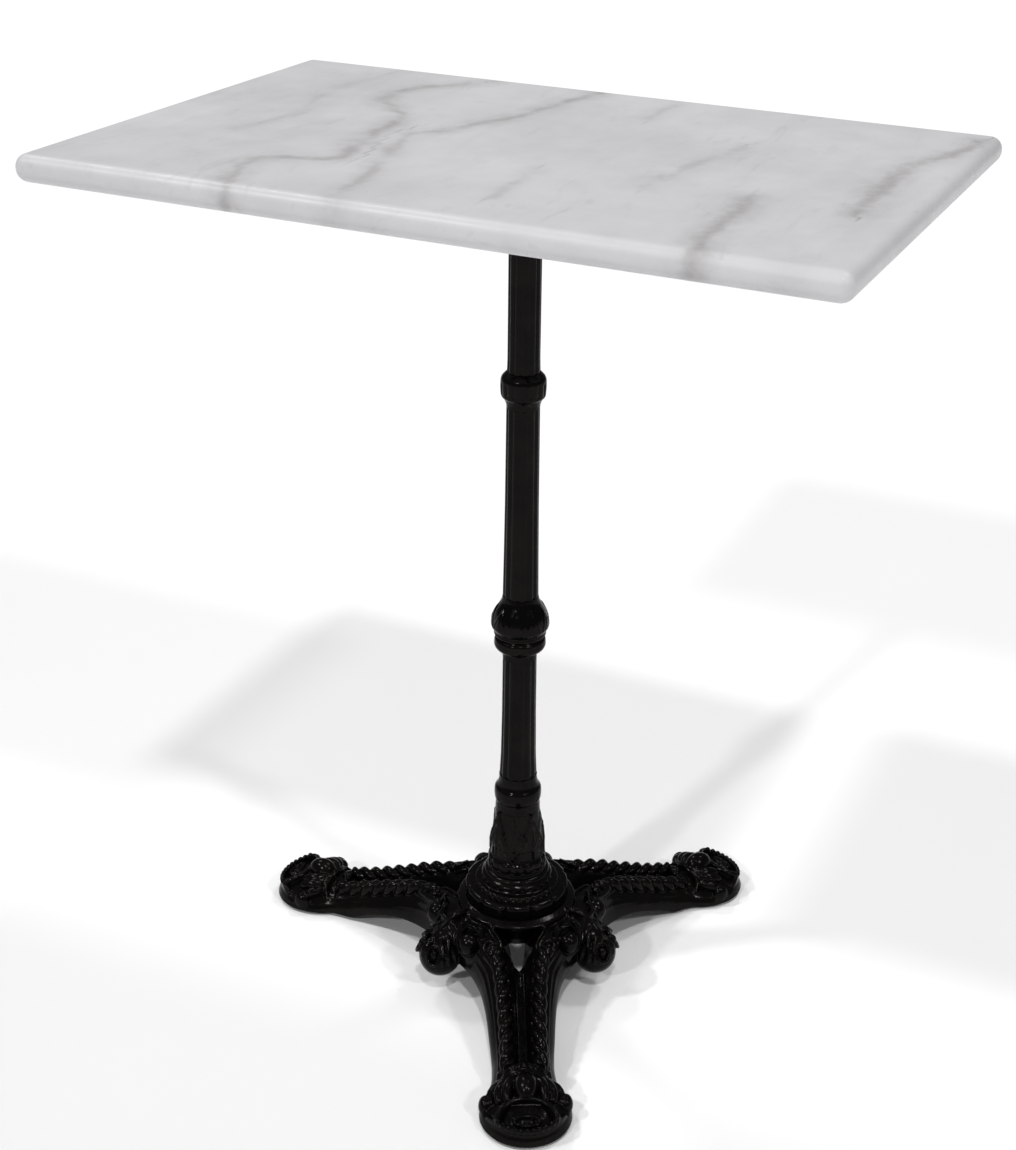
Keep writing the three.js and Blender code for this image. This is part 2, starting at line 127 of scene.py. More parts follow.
def smooth_line(xs, ys):
    """A smooth function through the points (xs, ys), flat beyond its ends."""
    xs = np.asarray(xs, dtype=float)
    ys = np.asarray(ys, dtype=float)
    slopes = np.gradient(ys, xs)

    def value(x):
        x = np.clip(x, xs[0], xs[-1])
        i = np.clip(np.searchsorted(xs, x) - 1, 0, len(xs) - 2)
        width = xs[i + 1] - xs[i]
        t = (x - xs[i]) / width
        return ((1 + 2 * t) * (1 - t) ** 2 * ys[i] + t * (1 - t) ** 2 * width * slopes[i]
                + t ** 2 * (3 - 2 * t) * ys[i + 1] + t ** 2 * (t - 1) * width * slopes[i + 1])

    return value


# ---- clay: shapes blended in a block of space, then skinned ----

def smooth_min(a, b, soft):
    """The lower of a and b, blended where they differ by less than `soft`."""
    mix = np.clip(0.5 + 0.5 * (b - a) / soft, 0, 1)
    return b + (a - b) * mix - soft * mix * (1 - mix)


def smooth_max(a, b, soft):
    """The higher of a and b, blended in the same way."""
    return -smooth_min(-a, -b, soft)


CUBE_CORNERS = np.array([(i, j, k) for i in (0, 1) for j in (0, 1) for k in (0, 1)])
CUBE_EDGES = [(a, b) for a in range(8) for b in range(a + 1, 8)
              if np.abs(CUBE_CORNERS[a] - CUBE_CORNERS[b]).sum() == 1]
FAR_OUTSIDE = 50


class Clay:
    """A block of space that holds, at each grid point, the distance to a surface, negative
    inside it. A shape is a function that gives its own distance at x, y, z."""

    def __init__(self, low, high, cell):
        self.low = np.array(low, dtype=float)
        self.cell = cell
        self.size = np.ceil((np.array(high) - self.low) / cell).astype(int) + 1
        self.field = np.full(self.size, FAR_OUTSIDE, dtype=np.float32)

    def patch(self, box, angle, margin):
        """The grid points near a box that is turned about Z, and their places in its own frame."""
        (x0, y0, z0), (x1, y1, z1) = box
        c, s = cos(radians(angle)), sin(radians(angle))
        corners = np.array([(c * x - s * y, s * x + c * y) for x in (x0, x1) for y in (y0, y1)])
        low = np.array([*corners.min(axis=0), z0]) - margin
        high = np.array([*corners.max(axis=0), z1]) + margin
        start = np.clip(np.floor((low - self.low) / self.cell).astype(int), 0, self.size)
        stop = np.clip(np.ceil((high - self.low) / self.cell).astype(int) + 1, 0, self.size)
        xs, ys, zs = [(self.low[i] + self.cell * np.arange(start[i], stop[i])).astype(np.float32)
                      for i in range(3)]
        x, y = xs[:, None, None], ys[None, :, None]
        part = tuple(slice(a, b) for a, b in zip(start, stop))
        return part, c * x + s * y, c * y - s * x, zs[None, None, :]

    def add(self, shape, box, soft, angles=(0,), sign=1):
        """Joins a shape on, at each of the angles; `box` holds the shape in its own frame."""
        for angle in angles:
            part, x, y, z = self.patch(box, angle, 2 * soft + 2 * self.cell)
            self.field[part] = sign * smooth_min(sign * self.field[part], shape(x, y, z), soft)

    def cut(self, *what):
        """Takes a shape away in the same way."""
        self.add(*what, sign=-1)

    def skin(self, name):
        """A quad mesh over the surface, one point in every cell that it crosses."""
        inside = self.field < 0
        n = self.size - 1
        crossed = np.zeros(n, dtype=bool)
        first = inside[:n[0], :n[1], :n[2]]
        for i, j, k in CUBE_CORNERS[1:]:
            crossed |= inside[i:n[0] + i, j:n[1] + j, k:n[2] + k] != first
        cells = np.argwhere(crossed)
        number = np.full(n, -1, dtype=np.int64)
        number[tuple(cells.T)] = np.arange(len(cells))
        values = np.stack([self.field[tuple((cells + corner).T)] for corner in CUBE_CORNERS])
        total = np.zeros((len(cells), 3))
        count = np.zeros(len(cells))
        for a, b in CUBE_EDGES:
            cross = (values[a] < 0) != (values[b] < 0)
            t = values[a][cross] / (values[a][cross] - values[b][cross])
            total[cross] += CUBE_CORNERS[a] + t[:, None] * (CUBE_CORNERS[b] - CUBE_CORNERS[a])
            count[cross] += 1
        points = self.low + self.cell * (cells + total / count[:, None])
        faces = []
        for axis in range(3):
            along, u, v = np.roll(np.eye(3, dtype=int), -axis, axis=0)
            near = inside[tuple(slice(0, n[k]) for k in range(3))]
            far = inside[tuple(slice(along[k], n[k] + along[k]) for k in range(3))]
            edges = np.argwhere(near != far)
            edges = edges[np.all(edges >= u + v, axis=1)]
            around = (np.zeros_like(u), u, u + v, v)
            quads = np.stack([number[tuple((edges - shift).T)] for shift in around], axis=1)
            outward = near[tuple(edges.T)]
            quads[~outward] = quads[~outward][:, ::-1]
            faces.append(quads)
        return new_object(name, points, np.concatenate(faces))


# ---- shapes for the clay, each with the box that holds it ----

def ellipse_gap(*parts):
    """About how far a place is from an ellipse or ellipsoid, by its (offset, radius) on each axis."""
    near = np.sqrt(sum((offset / radius) ** 2 for offset, radius in parts)) + 1e-6
    steep = np.sqrt(sum((offset / radius ** 2) ** 2 for offset, radius in parts)) + 1e-6
    return near * (near - 1) / steep


def egg(centre, radii, lean=0):
    """An ellipsoid; lean turns it about the Y axis."""
    (cx, cy, cz), (rx, ry, rz) = centre, radii
    c, s = cos(radians(lean)), sin(radians(lean))

    def distance(x, y, z):
        dx, dy, dz = x - cx, y - cy, z - cz
        dx, dz = c * dx + s * dz, c * dz - s * dx
        return ellipse_gap((dx, rx), (dy, ry), (dz, rz))

    reach_x = max(rx, rz) if lean else rx
    reach_z = max(rx, rz) if lean else rz
    return distance, ((cx - reach_x, cy - ry, cz - reach_z), (cx + reach_x, cy + ry, cz + reach_z))


def bar(path, radii):
    """A rod along a list of points; its radius runs through radii from one end to the other."""
    path = np.asarray(path, dtype=float)
    radii = np.interp(np.linspace(0, 1, len(path)), np.linspace(0, 1, len(radii)), radii)

    def distance(x, y, z):
        best = None
        for a, b, ra, rb in zip(path, path[1:], radii, radii[1:]):
            d = b - a
            t = np.clip(((x - a[0]) * d[0] + (y - a[1]) * d[1] + (z - a[2]) * d[2]) / (d @ d), 0, 1)
            gap = np.sqrt((x - a[0] - t * d[0]) ** 2 + (y - a[1] - t * d[1]) ** 2
                          + (z - a[2] - t * d[2]) ** 2) - (ra + t * (rb - ra))
            best = gap if best is None else np.minimum(best, gap)
        return best

    most = radii.max()
    return distance, (tuple(path.min(axis=0) - most), tuple(path.max(axis=0) + most))


def curved_bar(knots, radii):
    """A bar along a smooth curve through knots."""
    return bar(curve_through(knots, 3), radii)


def facing_frame(centre, facing):
    """A function from x, y, z to places in the plane through `centre` that faces the direction
    `facing`: along it, level; up it; and out of it."""
    normal = Vector(facing).normalized()
    level = Vector((0, 0, 1)).cross(normal).normalized()
    rise = normal.cross(level)

    def local(x, y, z):
        dx, dy, dz = x - centre[0], y - centre[1], z - centre[2]
        return [dx * axis.x + dy * axis.y + dz * axis.z for axis in (level, rise, normal)]

    return local


def oval(centre, across, along, thickness, facing):
    """An oval ring in the plane that faces the direction `facing`: its half length `along` runs
    level, `across` runs up the plane, and thickness is the radius of the ring's own round bar."""
    local = facing_frame(centre, facing)
    cx, cy, cz = centre

    def distance(x, y, z):
        a, b, out = local(x, y, z)
        return np.sqrt(ellipse_gap((a, along), (b, across)) ** 2 + out ** 2) - thickness

    most = max(across, along) + thickness
    return distance, ((cx - most, cy - most, cz - most), (cx + most, cy + most, cz + most))


def both_sides(shape_and_box):
    """The shape and its mirror image across y = 0."""
    shape, ((x0, y0, z0), (x1, y1, z1)) = shape_and_box
    most = max(abs(y0), abs(y1))

    def distance(x, y, z):
        return shape(x, np.abs(y), z)

    return distance, ((x0, -most, z0), (x1, most, z1))


# ---- three-legged base casting ----
# A leg lies along +X in its own frame; a boss hangs between two legs, along +X in its own.
FOOT_CENTRE = 207
FOOT_RADIUS = 33
FOOT_UNDERSIDE = 3.5
GLIDE_CENTRE = 222
HUB_TOP = 72
HUB_BOTTOM = 34
NUT_RECESS_TOP = 48
NUT_RECESS_RADIUS = 14

# Lines along a leg, by the distance from the column: half its width, the upper and lower edges
# of its walls, the floor of its groove, and how far out and how high its ropes run.
LEG_START, LEG_END = 24, 196
flank = smooth_line((24, 50, 64, 82, 103, 130, 160, 174, 186, 196),
                    (66, 49.5, 42, 35, 30.5, 27.5, 25.7, 27, 30.5, 33))
rail_top = smooth_line((24, 62, 86, 121, 160, 176, 190), (66, 62.5, 53.5, 39, 24.5, 21, 19))
rail_bottom = smooth_line((24, 80, 102, 119, 138, 158, 170), (30, 29, 25.8, 20.7, 13, 3.8, 3.5))
groove_floor = smooth_line((60, 80, 102, 138, 165, 180), (40, 38, 33, 20, 11, 11))
rope_side = smooth_line((66, 80, 94, 121, 140, 160, 178), (20.5, 18, 16.3, 14, 13.2, 13, 13))
rope_height = smooth_line((66, 85, 121, 160, 178), (60, 55.7, 41.7, 27, 22.5))
GROOVE_START, GROOVE_END = 60, 178
OPENING_START, OPENING_END = 22, 70
ROPE_START, ROPE_END = 70, 177
ROPE_RADIUS = 7.0
ROPE_PITCH = 12.5
ROPE_DEPTH = 3.3
ROPE_TWIST = 2.4


def leg_walls(x, y, z):
    """Both rails in one block; the outer walls lean in towards the ropes, with ridges on them."""
    low, top = rail_bottom(x), rail_top(x)
    rise = np.clip((z - low) / (top - low), 0, 1)
    lean = (flank(x) - rope_side(x) - 2.5) * np.clip((x - 48) / 35, 0, 1)
    ridges = 0.6 * np.exp(-((rise - 0.76) / 0.055) ** 2)
    ridges = ridges + 0.5 * np.exp(-((rise - 0.56) / 0.05) ** 2) * np.clip((118 - x) / 25, 0, 1)
    wall = np.abs(y) - flank(x) + lean * rise ** 2.2 - ridges
    body = smooth_max(wall, 0.9 * (z - top), 2.0)
    body = smooth_max(body, low - z, 1.5)
    return smooth_max(body, np.maximum(LEG_START - x, x - LEG_END), 1.0)


def leg_groove(x, y, z):
    """The valley between the ropes, narrow at its floor."""
    floor = groove_floor(x)
    rise = np.clip((z - floor) / (rope_height(x) - floor), 0, 1.4)
    half = 4.0 + (rope_side(x) - 10.0) * rise ** 1.3
    valley = np.maximum(0.9 * (np.abs(y) - half), floor - z)
    return smooth_max(valley, np.maximum(GROOVE_START - x, x - GROOVE_END), 3.0)


def leg_opening(x, y, z):
    """The hole that goes right through beside the hub, wide above and narrow below."""
    rise = np.clip((z - 30) / 32, 0, 1)
    above = np.interp(x, (36, 62, OPENING_END), (24, 14, 0))
    below = np.interp(x, (OPENING_START, 43, OPENING_END), (6.3, 4.9, 0))
    return np.maximum(0.8 * (np.abs(y) - below - (above - below) * rise), OPENING_START - x)


def leg_rope(x, y, z):
    """Twisted rope along the top of a rail: strands with sharp valleys between them."""
    slope = (rope_height(x + 1) - rope_height(x - 1)) / 2
    square = 1 / (1 + slope ** 2)
    foot = x + (z - rope_height(x)) * slope * square
    aside = np.abs(y) - rope_side(foot)
    above = (z - rope_height(foot)) * np.sqrt(square)
    turn = np.arctan2(aside, above)
    phase = 2 * pi * foot / ROPE_PITCH - ROPE_TWIST * turn
    strand = ROPE_RADIUS - ROPE_DEPTH * (1 - np.abs(np.cos(phase / 2)) ** 0.85)
    skin = 0.7 * (np.hypot(aside, above) - strand)
    return smooth_max(skin, np.maximum(ROPE_START - x, x - ROPE_END), 2.0)


def foot_block(x, y, z):
    """The round shoe: a wall that spreads towards the floor, with a low dome on it."""
    radius = np.hypot(x - FOOT_CENTRE, y)
    dome = 26 - 14 * (radius / FOOT_RADIUS) ** 1.6
    flare = 4.2 * np.clip((18 - z) / 14, 0, 1) ** 1.2
    body = smooth_max(radius - FOOT_RADIUS - flare, 0.8 * (z - dome), 1.5)
    return smooth_max(body, FOOT_UNDERSIDE - z, 1.0)


def foot_mouth(x, y, z):
    """The sunken almond field in front of the knuckle."""
    edge = 214.8 + 0.5 * (np.abs(y) / 12) ** 4
    inside = np.maximum(edge - x, np.hypot(x - FOOT_CENTRE, y) - (FOOT_RADIUS - 2))
    return np.maximum(inside, 21.5 - 0.28 * (x - 215) - z)


def hub_hole(z):
    """The radius of the hole through the hub: a recess for the lower nut, then the bore."""
    return np.where(z < NUT_RECESS_TOP, NUT_RECESS_RADIUS, BORE)


def hub(x, y, z):
    """The bowl in the middle, with the flat rim that carries the column."""
    radius = np.hypot(x, y)
    outer = np.interp(z, (HUB_BOTTOM, 36, 44, 58, 65, 66.5, 68.5, 69.5, HUB_TOP),
                      (26.5, 28, 33, 38, 49.5, 51, 51, 50, 44.7))
    body = np.maximum((radius - outer) * 0.7, np.maximum(HUB_BOTTOM - z, z - HUB_TOP))
    return np.maximum(body, hub_hole(z) - radius)


def inside_hub_hole(x, y, z):
    """The hole itself, to be cut from what reaches into it."""
    return np.maximum(np.hypot(x, y) - hub_hole(z), -1)


def above_hub(x, y, z):
    """All the space above the flat rim."""
    return HUB_TOP - z


def model_legs(clay):
    """The three legs, each with its groove and the shoe at its end."""
    clay.add(leg_walls, ((LEG_START, -66, 0), (LEG_END, 66, 74)), 2.5, LEG_ANGLES)
    clay.add(foot_block, ((170, -36, 0), (243, 36, 30)), 4.0, LEG_ANGLES)
    clay.cut(leg_groove, ((GROOVE_START, -16, 10), (GROOVE_END, 16, 74)), 1.2, LEG_ANGLES)


def lip_height(bearing):
    """The height of the shoe's lip by the bearing from its middle, 0 at the toe end: it climbs
    a little towards the sides and then drops away."""
    turn = np.abs(bearing)
    return 15.8 + 2.6 * np.clip(turn / 45, 0, 1) ** 2 - 5 * np.clip((turn - 48) / 20, 0, 1)


def foot_lip(x, y, z):
    """The band round the toe end of the shoe, up to the height of its lip."""
    bearing = np.degrees(np.arctan2(np.abs(y), x - FOOT_CENTRE))
    band = np.abs(np.hypot(x - FOOT_CENTRE, y) - 32.1) - 1.9
    band = smooth_max(band, z - lip_height(bearing) - 1, 2.0)
    return np.maximum(band, np.maximum(6 - z, 0.4 * (bearing - 70)))


def model_foot_relief(clay):
    """The sunken field with its oval, brow and beaded lip, the knuckle, the fanned toes and the
    leaf collar behind them."""
    def put(shape_and_box, soft=1.0):
        clay.add(*shape_and_box, soft, LEG_ANGLES)

    clay.cut(foot_mouth, ((212, -27, 14), (240, 27, 32)), 1.0, LEG_ANGLES)
    put(oval((230, 0, 18.2), 4.4, 9.8, 1.5, (0.28, 0, 1)))
    put(egg((230, 0, 17), (2.4, 6.4, 2.6), 16), 0.6)
    brow = [(227, 23.5, 19.5), (220.5, 20, 22.5), (215.5, 13, 24.5), (213.8, 6, 26), (213.4, 0, 26.5)]
    put(both_sides(curved_bar(brow, [2.4, 2.1, 1.8])), 0.9)
    put((foot_lip, ((218, -36, 4), (243, 36, 24))), 1.2)
    for bead in range(-5, 6):
        turn = 8.8 * bead
        out, aside = around_axis(32.8, turn)
        put(egg((FOOT_CENTRE + out, aside, lip_height(turn) + 0.4), (2.5, 2.6, 3.2)), 0.6)
    put(egg((201, 0, 26.5), (13.5, 9.8, 11.5)))
    toes = (
        ([(188, 5, 26), (197, 12.5, 27), (205, 14.5, 25.5), (210, 15, 23)], [2.4, 4.4, 4.4, 3.6]),
        ([(188, 10, 24), (197, 18.5, 24.5), (204, 21.5, 22.5), (209, 21.5, 20.5)], [2.2, 4.2, 4.2, 3.6]),
        ([(188, 16, 20), (195, 24.5, 20), (201, 27.5, 18), (206, 27.5, 16)], [2.0, 4.0, 4.0, 3.4]),
    )
    for path, radii in toes:
        put(both_sides(curved_bar(path, radii)), 0.7)
    put(both_sides(egg((204, 32, 11.5), (7.5, 5.5, 8.5))), 0.8)
    put(egg((181, 0, 14), (10, 19, 11)), 3.0)
    put(egg((180.5, 0, 19), (9, 18, 8)), 1.5)
    front = [(182, 23, 15), (188, 16, 23), (187, 7, 27.5), (186.5, 0, 28.5)]
    put(both_sides(curved_bar(front, [1.6, 2.2, 2.1, 2.0])))
    back = [(174, 20.5, 17), (175, 15.5, 22.5), (178, 9, 25.5), (174, 4, 26.5), (173, 0, 27)]
    put(both_sides(curved_bar(back, [1.4, 2.0, 2.2, 2.0])))
    put(egg((176, 0, 27), (4, 3.4, 3.6)), 0.7)


MEDALLION_CENTRE = (52, 41.5, 62)
MEDALLION_FACING = (0.85, 0.42, 0.45)


def medallion_field(x, y, z):
    """The hollow inside a medallion's ring, on both sides of a leg."""
    a, b, out = facing_frame(MEDALLION_CENTRE, MEDALLION_FACING)(x, np.abs(y), z)
    return np.maximum(8 * (np.hypot(a / 12, b / 18) - 1), -4 - out)


def model_rail_ends(clay):
    """Tall oval medallions with a ball in them, where the legs and the bosses meet, and the
    scroll, shoulder and edge of each rail beside them."""
    def put(shape_and_box, soft=1.0):
        clay.add(*both_sides(shape_and_box), soft, LEG_ANGLES)

    put(egg((46, 37, 50), (17, 15, 15)), 4.0)
    clay.cut(medallion_field, ((36, -58, 42), (84, 58, 82)), 1.2, LEG_ANGLES)
    put(oval(MEDALLION_CENTRE, 16.5, 10.5, 2.2, MEDALLION_FACING))
    put(oval((53.2, 41.8, 60.6), 11.5, 8.2, 1.1, MEDALLION_FACING), 0.7)
    put(egg((55.2, 42.4, 57), (9.2, 9.2, 9.6)), 0.6)
    put(egg((67, 24, 60), (5, 4.6, 4.6)))
    put(oval((68, 24.5, 62.5), 5, 5.5, 1.3, (0.6, 0.2, 0.8)), 0.8)
    shoulder = [(90, 19.5, 51), (80, 24, 56), (70, 29, 58), (61, 33, 61)]
    put(curved_bar(shoulder, [1.6, 3.0, 3.4, 2.0]), 1.2)
    edge = [(40, 25, 66.5), (52, 20.5, 65.5), (62, 15.5, 63), (68, 14.5, 59)]
    put(curved_bar(edge, [1.6, 1.6, 1.4]))


BULB_OUT = 77
BULB_MIDDLE = 34.5
BULB_RADIUS = 18.2
BULB_HALF_HEIGHT = 19


def on_bulb(turn, rise, lift):
    """A point `lift` above the bulb of a boss, turned round its upright axis by `turn` and raised
    above its equator by `rise`."""
    a, b = radians(turn), radians(rise)
    level = (BULB_RADIUS + lift) * cos(b)
    return BULB_OUT + level * cos(a), level * sin(a), BULB_MIDDLE + (BULB_HALF_HEIGHT + lift) * sin(b)


def model_bosses(clay):
    """Hanging buds: a plain bulb below, petals and two eyes above, a leaf springing from the hub."""
    def put(shape_and_box, soft=0.8):
        clay.add(*shape_and_box, soft, BOSS_ANGLES)

    put(egg((BULB_OUT, 0, BULB_MIDDLE), (BULB_RADIUS, BULB_RADIUS, BULB_HALF_HEIGHT)), 2.0)
    put(egg((60, 0, 52), (24, 15, 12.5)), 3.5)
    put(bar([on_bulb(0, rise, 0) for rise in range(78, 1, -11)], [2.0, 3.6, 3.2, 1.2]))
    put(both_sides(oval(on_bulb(41, 30, 0.4), 8.5, 5.6, 1.5, (0.66, 0.57, 0.5))))
    put(both_sides(egg(on_bulb(41, 30, -0.6), (3.6, 3.6, 5.2))), 0.6)
    for turn, width in ((66, 2.2), (83, 3.2), (106, 3.0)):
        petal = [on_bulb(turn, rise, 0.2) for rise in range(74, 1, -12)]
        put(both_sides(bar(petal, [1.2, width, width, 0.8])), 0.7)
    spine = [(46, 0, 68), (60, 0, 69.5), (74, 0, 62), (84, 0, 53)]
    put(curved_bar(spine, [2.2, 2.6, 2.4, 1.8]), 1.0)
    for step in range(5):
        start = (50 + 7 * step, 2, 67.5 - 1.5 * step ** 1.4)
        middle = (56 + 6.5 * step, 9 + 0.6 * step, 63 - 1.8 * step ** 1.3)
        tip = (60 + 6 * step, 14 + 0.8 * step, 58 - 2.0 * step ** 1.25)
        put(both_sides(bar([start, middle, tip], [1.3, 2.6, 1.6])))


def model_base():
    """The whole base casting in one block of clay."""
    clay = Clay((-246, -223, 2), (152, 215, 76), BASE_CELL)
    model_legs(clay)
    model_bosses(clay)
    model_rail_ends(clay)
    clay.cut(leg_opening, ((OPENING_START, -26, 10), (69, 26, 76)), 1.0, LEG_ANGLES)
    clay.add(hub, ((-52, -52, 30), (52, 52, 74)), 2.0)
    clay.add(leg_rope, ((63, -30, 14), (180, 30, 70)), 0.8, LEG_ANGLES)
    model_foot_relief(clay)
    clay.cut(inside_hub_hole, ((-15, -15, 20), (15, 15, 76)), 0.3)
    clay.cut(above_hub, ((-250, -230, 71), (160, 220, 76)), 0.3)
    finish_piece(clay.skin("tripod_base_cast"), "tripod_base", "enamel")


# ---- column ----
# The pieces stand on each other at these heights, each a hair's breadth above the one below.
GAP = 0.3
FLANGE_TOP = 100
PEDESTAL_TOP = 160
RING_TOP = 193
LOWER_SHAFT_TOP = 304
KNOP_TOP = 360
MIDDLE_SHAFT_TOP = 520
COLLAR_TOP = 549
BRACKET_BOTTOM = 668
FLUTES = 12
FLUTE_DEPTH = 1.0
COLUMN_SIDES = 144
CURVE_STEP = 0.8


def bored(outer, step):
    """Closes an outer outline with the bore; the outer line gets a point about every `step` mm."""
    line = []
    for (r0, z0), (r1, z1) in zip(outer, outer[1:]):
        count = max(1, int(np.hypot(r1 - r0, z1 - z0) / step))
        line += [(r0 + (r1 - r0) * i / count, z0 + (z1 - z0) * i / count) for i in range(count)]
    line.append(outer[-1])
    return line + [(BORE, outer[-1][1]), (BORE, outer[0][1])]


def on_skin(radius):
    """1 on the outside of a turned piece, 0 in its bore."""
    return (radius > BORE + 2).astype(float)


def fluting(count, depth):
    """Flutes from end to end, with sharp valleys between them."""
    def relief(angle, height, radius):
        wave = np.abs(np.cos(count * angle / 2))
        return -depth * (1 - wave) * on_skin(radius)
    return relief


def between(height, low, high, soft=1.5):
    """1 between two heights, falling to 0 at each of them over the last `soft` mm."""
    return np.clip((height - low) / soft, 0, 1) * np.clip((high - height) / soft, 0, 1)


def gadroons(count, depth, low, high):
    """A band of swelling lobes between two heights."""
    def relief(angle, height, radius):
        lobe = np.abs(np.sin(count * angle / 2)) ** 0.8
        return depth * (lobe - 1) * between(height, low, high) * on_skin(radius)
    return relief


def leaves(count, first, low, high, lift):
    """Pointed upright leaves that touch at their feet, each with a raised edge, a second line
    inside it and a midrib; `first` is the direction of one tip."""
    def relief(angle, height, radius):
        t = np.clip((height - low) / (high - low), 0, 1)
        turn = ((angle - radians(first)) * count / (2 * pi) + 0.5) % 1 - 0.5
        arc = 2 * pi * np.maximum(radius, 1) / count
        inset = (0.5 * (1 - t ** 1.15) - np.abs(turn)) * arc
        body = np.clip(inset / 0.9, 0, 1)
        edge = np.exp(-((inset - 1.3) / 0.8) ** 2) + 0.7 * np.exp(-((inset - 4.6) / 0.9) ** 2)
        rib = np.exp(-(turn * arc) ** 2) * np.clip(inset / 2, 0, 1)
        leaf = lift * (0.4 * body + 0.6 * edge + 0.6 * rib)
        return leaf * between(height, low - 1, high, 1.0) * on_skin(radius)
    return relief


def beads(count, depth, low, high, innermost):
    """A row of short notches between beads, on skin that lies beyond the radius `innermost`."""
    def relief(angle, height, radius):
        notch = (0.5 + 0.5 * np.cos(count * angle)) ** 3
        return -depth * notch * between(height, low, high, 0.5) * (radius > innermost)
    return relief


def segments(count, first, depth, innermost):
    """Narrow notches that part a rim beyond the radius `innermost` into segments; `first` is the
    direction of one notch."""
    def relief(angle, height, radius):
        offset = np.sin(count / 2 * (angle - radians(first)))
        return -depth * np.exp(-(offset / 0.2) ** 2) * (radius > innermost)
    return relief


def together(*reliefs):
    """The sum of several reliefs."""
    def relief(angle, height, radius):
        return sum(one(angle, height, radius) for one in reliefs)
    return relief


def fluted_shaft(node, outline):
    turned_piece(node, bored(outline, 6), COLUMN_SIDES, fluting(FLUTES, FLUTE_DEPTH), finish="fluted")


def smooth_piece(node, knots, relief=None, sides=COLUMN_SIDES):
    """A bored piece with a smooth outline through (radius, height) knots."""
    outline = [*map(tuple, curve_through(knots, CURVE_STEP)), (BORE, knots[-1][1]), (BORE, knots[0][1])]
    turned_piece(node, outline, sides, relief, finish="turned")


def upper_collar():
    knots = [(13, MIDDLE_SHAFT_TOP + GAP), (13.4, 523.5), (15.2, 527.7), (17.1, 530), (17.8, 535),
             (17.8, 541), (17, 544.6), (15.1, 547), (13, COLLAR_TOP)]
    smooth_piece("upper_collar", knots, gadroons(16, 0.9, 531, 542))


def ball_knop():
    """A ring, a fillet and the ball, which carries a wreath of leaves."""
    knots = [
        (14, LOWER_SHAFT_TOP + GAP), (14, 309.4), (15.4, 311.2), (19.2, 313.2), (20.9, 316), (21, 319),
        (20.5, 322), (18.9, 323.8), (20.6, 325.4), (21.3, 327), (20.7, 328.9), (22.3, 331.5),
        (22.9, 335), (22.4, 340.5), (20.6, 346), (17.6, 351.5), (15.6, 355.5), (14.4, KNOP_TOP),
    ]
    smooth_piece("ball_knop", knots, leaves(9, 5, 333, 354, 0.8))


def lower_ring():
    smooth_piece("lower_ring", [
        (18.9, PEDESTAL_TOP + GAP), (18.8, 164), (18.7, 168.4), (19.1, 169.4), (19.6, 171.5),
        (19.8, 175.5), (19.4, 180), (17.6, 182.8), (16.4, 186), (15.9, 190), (15.8, RING_TOP),
    ])


def leaf_pedestal():
    """A gadrooned foot, and above it four large leaves with four smaller ones between them."""
    knots = [
        (25.2, FLANGE_TOP + GAP), (25.3, 102.2), (24.3, 103.6), (24.9, 105.5), (25.1, 109),
        (24.5, 112), (22.5, 114), (21.9, 116.5), (21.7, 122), (21.3, 130), (20.3, 141), (19.5, 150),
        (18.9, PEDESTAL_TOP),
    ]
    large, small = leaves(4, -28, 116.5, 164, 2.2), leaves(4, 17, 126, 157, 0.7)
    smooth_piece("leaf_pedestal", knots, together(gadroons(14, 1.3, 103.6, 113.8), large, small), 192)


def hub_flange():
    """Three steps: a rim parted into twelve segments, and two beaded rings above it."""
    outline = bored([
        (43.4, HUB_TOP + GAP), (44.3, 72.9), (44.7, 74.2), (44.5, 81.8), (44, 83.3), (42.8, 84.4),
        (41, 84.9), (36.2, 85), (36, 87), (35.2, 88), (33.8, 88.3), (30.4, 88.5), (29.4, 89.8),
        (30.2, 90.6), (30.2, 93.6), (28.9, 95), (27.6, 96), (27.8, 98), (26.6, 99.4), (25.4, FLANGE_TOP),
    ], 0.7)
    lower_beads, upper_beads = beads(36, 1.3, 85.2, 88.4, 32), beads(26, 0.8, 90.4, 93.8, 29.4)
    relief = together(segments(12, 12.5, 2.2, 41), lower_beads, upper_beads)
    turned_piece("hub_flange", outline, 288, relief, finish="turned")


def model_column():
    """The eight pieces of the column, from the top down."""
    fluted_shaft("upper_shaft", [(12.8, COLLAR_TOP + GAP), (12.5, 560), (12.5, BRACKET_BOTTOM)])
    upper_collar()
    fluted_shaft("middle_shaft", [(14.4, KNOP_TOP + GAP), (13.9, 395), (13.4, 440), (13, MIDDLE_SHAFT_TOP)])
    ball_knop()
    fluted_shaft("lower_shaft", [(15.6, RING_TOP + GAP), (14.7, 213), (14.1, 255), (13.9, LOWER_SHAFT_TOP)])
    lower_ring()
    leaf_pedestal()
    hub_flange()


# ---- bracket and fixings ----
FIXING_X, FIXING_Y = 165, 105
FIXING_NAMES = ("right_back", "left_back", "left_front", "right_front")
BRACKET_REACH = float(np.hypot(FIXING_X, FIXING_Y))
BRACKET_TURN = float(np.degrees(np.arctan2(FIXING_Y, FIXING_X)))
BRACKET_ANGLES = (BRACKET_TURN, 180 - BRACKET_TURN, 180 + BRACKET_TURN, -BRACKET_TURN)
BRACKET_TOP = 697.4
BRACKET_PLATE = 6
ARM_ROOT, ARM_TIP = 16, 11
RIB_HALF = 3
RIB_STOP = 16
SCREW_HOLE_RADIUS = 3.5
SPIGOT_SOCKET_TOP, SPIGOT_SOCKET_RADIUS = 674.6, 9.3
NUT_POCKET_BOTTOM, NUT_POCKET_RADIUS = 681, 14


